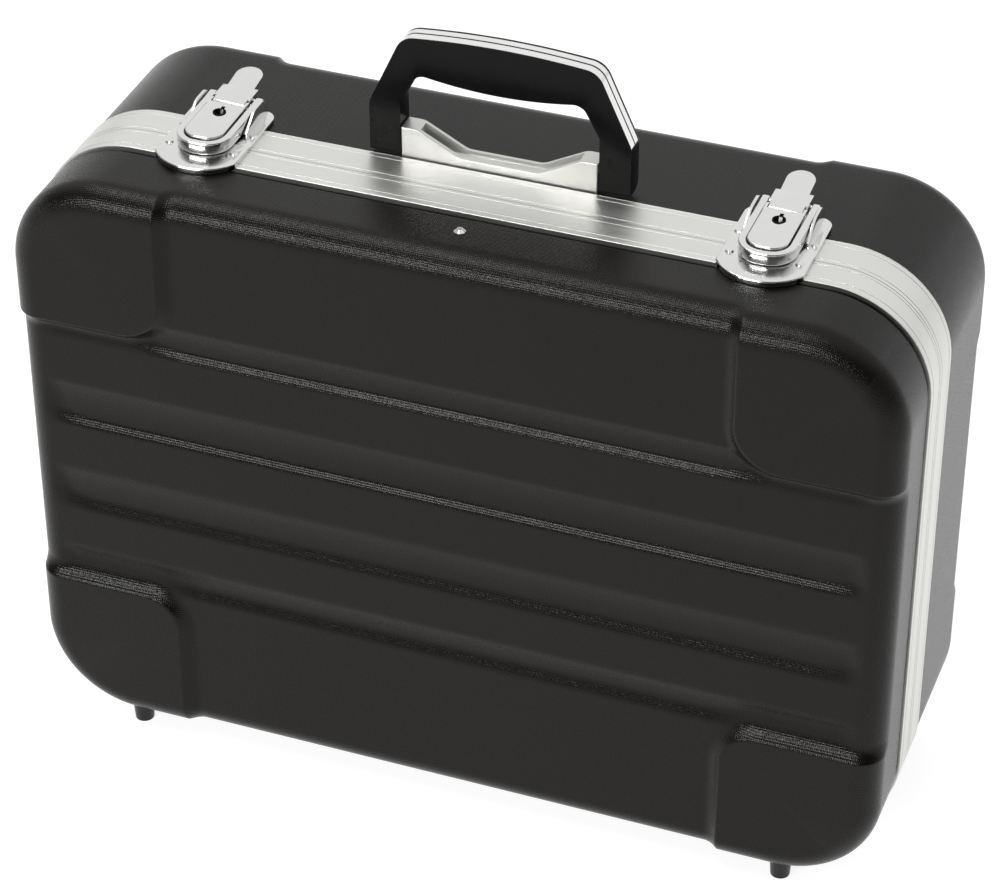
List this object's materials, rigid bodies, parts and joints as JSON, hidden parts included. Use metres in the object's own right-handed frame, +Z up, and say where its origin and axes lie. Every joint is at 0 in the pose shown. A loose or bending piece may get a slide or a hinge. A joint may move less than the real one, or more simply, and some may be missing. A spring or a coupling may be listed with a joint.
{
  "type": "hard carrying case",
  "caption": "Hard-shell carrying case with an aluminium frame, hinged lid, key-locking draw latches and a folding handle.",
  "frame": {"origin": "on the floor under the middle of the case's width and depth", "axes": "+X along the case's width, +Y from the lid at the front to the back, +Z upwards"},
  "size_m": [0.47, 0.167, 0.418],
  "materials": {
    "black_shell": "moulded ABS with a fine woven grain and a satin sheen",
    "frame_aluminium": "satin anodised extrusion with lines along it",
    "latch_chrome": "bright plating",
    "steel": "zinc plated",
    "bracket_silver": "satin silver",
    "handle_plastic": "smooth satin black",
    "handle_trim": "bright metallised strip",
    "foot_plastic": "smooth black"
  },
  "bodies": {
    "base": {"back_shell": "black_shell", "base_frame": "frame_aluminium", "handle_bracket": "bracket_silver", "handle_pins": "steel", "handle_backing_plate": "steel", "handle_screws": "steel", "base_rivets": "latch_chrome", "hinge_leaves_base": "steel", "hinge_rivets_base": "steel", "hinge_pins": "steel", "rear_feet": "foot_plastic", "latch_base_left": "latch_chrome", "lock_housing_left": "latch_chrome", "lever_pin_left": "latch_chrome", "latch_base_right": "latch_chrome", "lock_housing_right": "latch_chrome", "lever_pin_right": "latch_chrome"},
    "lid": {"lid_shell": "black_shell", "lid_frame": "frame_aluminium", "strike_left": "latch_chrome", "strike_right": "latch_chrome", "strike_rivets": "latch_chrome", "hinge_leaves_lid": "steel", "hinge_rivets_lid": "steel", "front_feet": "foot_plastic", "lid_rivet": "latch_chrome"},
    "handle": {"handle_grip": "handle_plastic", "handle_trim": "handle_trim"},
    "lever_left": {"lever_left": "latch_chrome", "loop_pin_left": "latch_chrome"},
    "latch_loop_left": {"latch_loop_left": "latch_chrome"},
    "lock_plug_left": {"lock_plug_left": "latch_chrome"},
    "lever_right": {"lever_right": "latch_chrome", "loop_pin_right": "latch_chrome"},
    "latch_loop_right": {"latch_loop_right": "latch_chrome"},
    "lock_plug_right": {"lock_plug_right": "latch_chrome"}
  },
  "joints": [
    {"name": "lid_hinge", "type": "hinge", "parent": "base", "child": "lid", "pos_m": [0, -0.02, 0.0065], "axis": [1, 0, 0], "range_deg": [0, 100]},
    {"name": "handle_fold", "type": "hinge", "parent": "base", "child": "handle", "pos_m": [0, 0.008, 0.3575], "axis": [-1, 0, 0], "range_deg": [0, 90]},
    {"name": "lever_left_turn", "type": "hinge", "parent": "base", "child": "lever_left", "pos_m": [-0.147, 0.0055, 0.3556], "axis": [1, 0, 0], "range_deg": [0, 90]},
    {"name": "loop_left_turn", "type": "hinge", "parent": "lever_left", "child": "latch_loop_left", "pos_m": [-0.147, 0.0135, 0.3556], "axis": [1, 0, 0], "range_deg": [-90, 0]},
    {"name": "lock_left_turn", "type": "hinge", "parent": "base", "child": "lock_plug_left", "pos_m": [-0.147, -0.007, 0.3556], "axis": [0, 0, 1], "range_deg": [0, 90]},
    {"name": "lever_right_turn", "type": "hinge", "parent": "base", "child": "lever_right", "pos_m": [0.147, 0.0055, 0.3556], "axis": [1, 0, 0], "range_deg": [0, 90]},
    {"name": "loop_right_turn", "type": "hinge", "parent": "lever_right", "child": "latch_loop_right", "pos_m": [0.147, 0.0135, 0.3556], "axis": [1, 0, 0], "range_deg": [-90, 0]},
    {"name": "lock_right_turn", "type": "hinge", "parent": "base", "child": "lock_plug_right", "pos_m": [0.147, -0.007, 0.3556], "axis": [0, 0, 1], "range_deg": [0, 90]}
  ],
  "couplings": [
    {"joint": "loop_left_turn", "follows": "lever_left_turn", "ratio": -1},
    {"joint": "loop_right_turn", "follows": "lever_right_turn", "ratio": -1}
  ]
}
